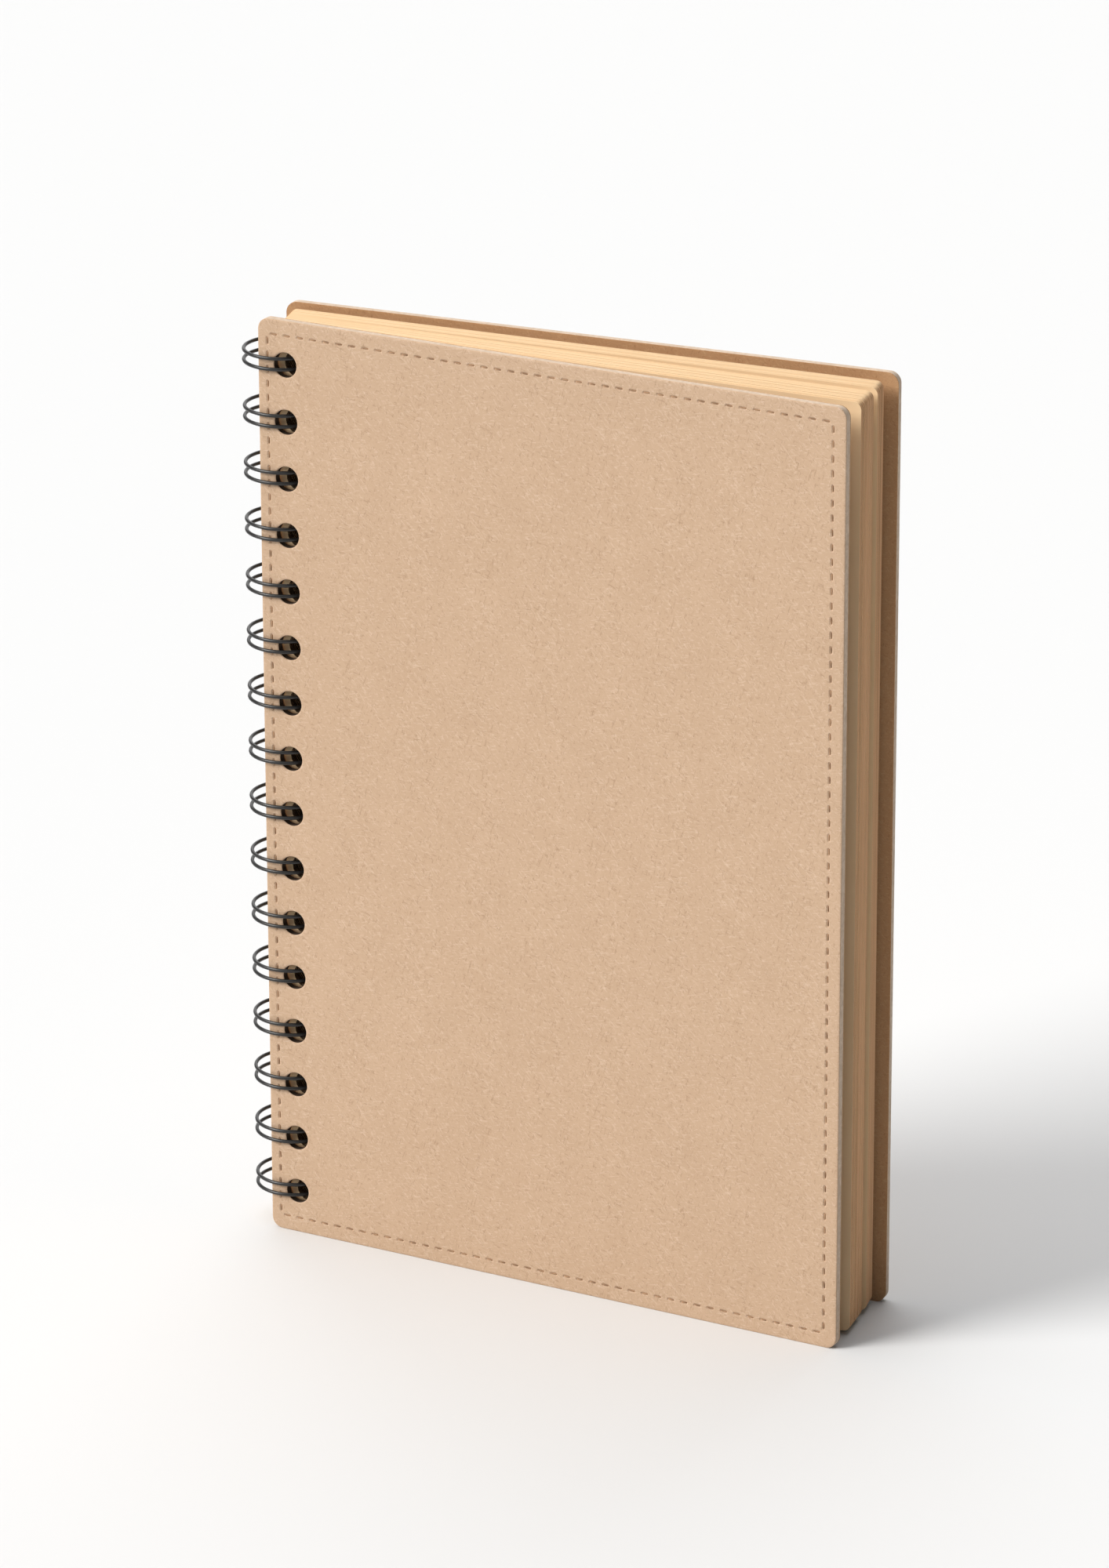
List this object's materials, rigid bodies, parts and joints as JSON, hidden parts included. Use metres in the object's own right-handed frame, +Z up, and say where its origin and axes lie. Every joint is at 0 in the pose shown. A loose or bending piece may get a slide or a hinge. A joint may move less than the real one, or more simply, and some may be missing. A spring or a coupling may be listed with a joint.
{
  "type": "sketchbook",
  "caption": "Upright wire-bound sketchbook with stiff kraft covers, a stitched border, rounded corners, cream leaves and black twin-loop binding down the long side.",
  "frame": {"origin": "middle of the bottom of the book's box, where it stands on its covers' bottom edges", "axes": "+Z up along the spine, +X from the spine to the fore edge along the rear cover, -Y towards the viewer of the front cover"},
  "size_m": [0.147, 0.0304, 0.21],
  "materials": {
    "kraft_facing": "matt uncoated kraft paper with fine fibre flecks",
    "kraft_lining": "matt uncoated kraft paper",
    "grey_board": "die-cut greyboard, matt fibrous edge",
    "thread": "twisted brown thread, soft sheen",
    "wire": "black nylon-coated steel wire, satin",
    "leaf_paper": "matt cream drawing paper"
  },
  "bodies": {
    "root": {"rear_facing": "kraft_facing", "rear_board": "grey_board", "rear_lining": "kraft_lining", "rear_stitching": "thread", "binding_wire": "wire"},
    "front_cover": {"front_facing": "kraft_facing", "front_board": "grey_board", "front_lining": "kraft_lining", "front_stitching": "thread"},
    "leaf_pack_01_leaves": {"leaf_pack_01": "leaf_paper"},
    "leaf_pack_02_leaves": {"leaf_pack_02": "leaf_paper"},
    "leaf_pack_03_leaves": {"leaf_pack_03": "leaf_paper"},
    "leaf_pack_04_leaves": {"leaf_pack_04": "leaf_paper"},
    "leaf_pack_05_leaves": {"leaf_pack_05": "leaf_paper"},
    "leaf_pack_06_leaves": {"leaf_pack_06": "leaf_paper"},
    "leaf_pack_07_leaves": {"leaf_pack_07": "leaf_paper"},
    "leaf_pack_08_leaves": {"leaf_pack_08": "leaf_paper"},
    "leaf_pack_09_leaves": {"leaf_pack_09": "leaf_paper"},
    "leaf_pack_10_leaves": {"leaf_pack_10": "leaf_paper"},
    "leaf_pack_11_leaves": {"leaf_pack_11": "leaf_paper"},
    "leaf_pack_12_leaves": {"leaf_pack_12": "leaf_paper"},
    "leaf_pack_13_leaves": {"leaf_pack_13": "leaf_paper"},
    "leaf_pack_14_leaves": {"leaf_pack_14": "leaf_paper"},
    "leaf_pack_15_leaves": {"leaf_pack_15": "leaf_paper"},
    "leaf_pack_16_leaves": {"leaf_pack_16": "leaf_paper"},
    "leaf_pack_17_leaves": {"leaf_pack_17": "leaf_paper"},
    "leaf_pack_18_leaves": {"leaf_pack_18": "leaf_paper"},
    "leaf_pack_19_leaves": {"leaf_pack_19": "leaf_paper"},
    "leaf_pack_20_leaves": {"leaf_pack_20": "leaf_paper"}
  },
  "joints": [
    {"name": "front_cover_swing", "type": "hinge", "parent": "root", "child": "front_cover", "pos_m": [-0.06443, 0.00615, 0.105], "axis": [0, 0, -1], "range_deg": [-5.6, 137.5]},
    {"name": "leaf_pack_01_swing", "type": "hinge", "parent": "root", "child": "leaf_pack_01_leaves", "pos_m": [-0.06443, 0.00615, 0.105], "axis": [0, 0, -1], "range_deg": [-3.25, 78.62]},
    {"name": "leaf_pack_02_swing", "type": "hinge", "parent": "root", "child": "leaf_pack_02_leaves", "pos_m": [-0.06443, 0.00615, 0.105], "axis": [0, 0, -1], "range_deg": [-3.15, 76.17]},
    {"name": "leaf_pack_03_swing", "type": "hinge", "parent": "root", "child": "leaf_pack_03_leaves", "pos_m": [-0.06443, 0.00615, 0.105], "axis": [0, 0, -1], "range_deg": [-3.05, 73.71]},
    {"name": "leaf_pack_04_swing", "type": "hinge", "parent": "root", "child": "leaf_pack_04_leaves", "pos_m": [-0.06443, 0.00615, 0.105], "axis": [0, 0, -1], "range_deg": [-2.95, 71.25]},
    {"name": "leaf_pack_05_swing", "type": "hinge", "parent": "root", "child": "leaf_pack_05_leaves", "pos_m": [-0.06443, 0.00615, 0.105], "axis": [0, 0, -1], "range_deg": [-2.85, 68.8]},
    {"name": "leaf_pack_06_swing", "type": "hinge", "parent": "root", "child": "leaf_pack_06_leaves", "pos_m": [-0.06443, 0.00615, 0.105], "axis": [0, 0, -1], "range_deg": [-2.75, 66.34]},
    {"name": "leaf_pack_07_swing", "type": "hinge", "parent": "root", "child": "leaf_pack_07_leaves", "pos_m": [-0.06443, 0.00615, 0.105], "axis": [0, 0, -1], "range_deg": [-2.65, 63.89]},
    {"name": "leaf_pack_08_swing", "type": "hinge", "parent": "root", "child": "leaf_pack_08_leaves", "pos_m": [-0.06443, 0.00615, 0.105], "axis": [0, 0, -1], "range_deg": [-2.55, 61.43]},
    {"name": "leaf_pack_09_swing", "type": "hinge", "parent": "root", "child": "leaf_pack_09_leaves", "pos_m": [-0.06443, 0.00615, 0.105], "axis": [0, 0, -1], "range_deg": [-2.45, 58.98]},
    {"name": "leaf_pack_10_swing", "type": "hinge", "parent": "root", "child": "leaf_pack_10_leaves", "pos_m": [-0.06443, 0.00615, 0.105], "axis": [0, 0, -1], "range_deg": [-2.35, 56.52]},
    {"name": "leaf_pack_11_swing", "type": "hinge", "parent": "root", "child": "leaf_pack_11_leaves", "pos_m": [-0.06443, 0.00615, 0.105], "axis": [0, 0, -1], "range_deg": [-2.25, 54.07]},
    {"name": "leaf_pack_12_swing", "type": "hinge", "parent": "root", "child": "leaf_pack_12_leaves", "pos_m": [-0.06443, 0.00615, 0.105], "axis": [0, 0, -1], "range_deg": [-2.15, 51.61]},
    {"name": "leaf_pack_13_swing", "type": "hinge", "parent": "root", "child": "leaf_pack_13_leaves", "pos_m": [-0.06443, 0.00615, 0.105], "axis": [0, 0, -1], "range_deg": [-1.15, 27.06]},
    {"name": "leaf_pack_14_swing", "type": "hinge", "parent": "root", "child": "leaf_pack_14_leaves", "pos_m": [-0.06443, 0.00615, 0.105], "axis": [0, 0, -1], "range_deg": [-1.08, 25.3]},
    {"name": "leaf_pack_15_swing", "type": "hinge", "parent": "root", "child": "leaf_pack_15_leaves", "pos_m": [-0.06443, 0.00615, 0.105], "axis": [0, 0, -1], "range_deg": [-1.01, 23.55]},
    {"name": "leaf_pack_16_swing", "type": "hinge", "parent": "root", "child": "leaf_pack_16_leaves", "pos_m": [-0.06443, 0.00615, 0.105], "axis": [0, 0, -1], "range_deg": [-0.94, 21.8]},
    {"name": "leaf_pack_17_swing", "type": "hinge", "parent": "root", "child": "leaf_pack_17_leaves", "pos_m": [-0.06443, 0.00615, 0.105], "axis": [0, 0, -1], "range_deg": [-0.86, 20.04]},
    {"name": "leaf_pack_18_swing", "type": "hinge", "parent": "root", "child": "leaf_pack_18_leaves", "pos_m": [-0.06443, 0.00615, 0.105], "axis": [0, 0, -1], "range_deg": [-0.79, 18.29]},
    {"name": "leaf_pack_19_swing", "type": "hinge", "parent": "root", "child": "leaf_pack_19_leaves", "pos_m": [-0.06443, 0.00615, 0.105], "axis": [0, 0, -1], "range_deg": [-0.72, 16.54]},
    {"name": "leaf_pack_20_swing", "type": "hinge", "parent": "root", "child": "leaf_pack_20_leaves", "pos_m": [-0.06443, 0.00615, 0.105], "axis": [0, 0, -1], "range_deg": [-0.65, 14.78]}
  ],
  "couplings": [
    {"joint": "leaf_pack_01_swing", "follows": "front_cover_swing", "ratio": 0.57143},
    {"joint": "leaf_pack_02_swing", "follows": "front_cover_swing", "ratio": 0.55357},
    {"joint": "leaf_pack_03_swing", "follows": "front_cover_swing", "ratio": 0.53571},
    {"joint": "leaf_pack_04_swing", "follows": "front_cover_swing", "ratio": 0.51786},
    {"joint": "leaf_pack_05_swing", "follows": "front_cover_swing", "ratio": 0.5},
    {"joint": "leaf_pack_06_swing", "follows": "front_cover_swing", "ratio": 0.48214},
    {"joint": "leaf_pack_07_swing", "follows": "front_cover_swing", "ratio": 0.46429},
    {"joint": "leaf_pack_08_swing", "follows": "front_cover_swing", "ratio": 0.44643},
    {"joint": "leaf_pack_09_swing", "follows": "front_cover_swing", "ratio": 0.42857},
    {"joint": "leaf_pack_10_swing", "follows": "front_cover_swing", "ratio": 0.41071},
    {"joint": "leaf_pack_11_swing", "follows": "front_cover_swing", "ratio": 0.39286},
    {"joint": "leaf_pack_12_swing", "follows": "front_cover_swing", "ratio": 0.375},
    {"joint": "leaf_pack_13_swing", "follows": "front_cover_swing", "ratio": 0.19643},
    {"joint": "leaf_pack_14_swing", "follows": "front_cover_swing", "ratio": 0.18367},
    {"joint": "leaf_pack_15_swing", "follows": "front_cover_swing", "ratio": 0.17092},
    {"joint": "leaf_pack_16_swing", "follows": "front_cover_swing", "ratio": 0.15816},
    {"joint": "leaf_pack_17_swing", "follows": "front_cover_swing", "ratio": 0.14541},
    {"joint": "leaf_pack_18_swing", "follows": "front_cover_swing", "ratio": 0.13265},
    {"joint": "leaf_pack_19_swing", "follows": "front_cover_swing", "ratio": 0.1199},
    {"joint": "leaf_pack_20_swing", "follows": "front_cover_swing", "ratio": 0.10714}
  ]
}
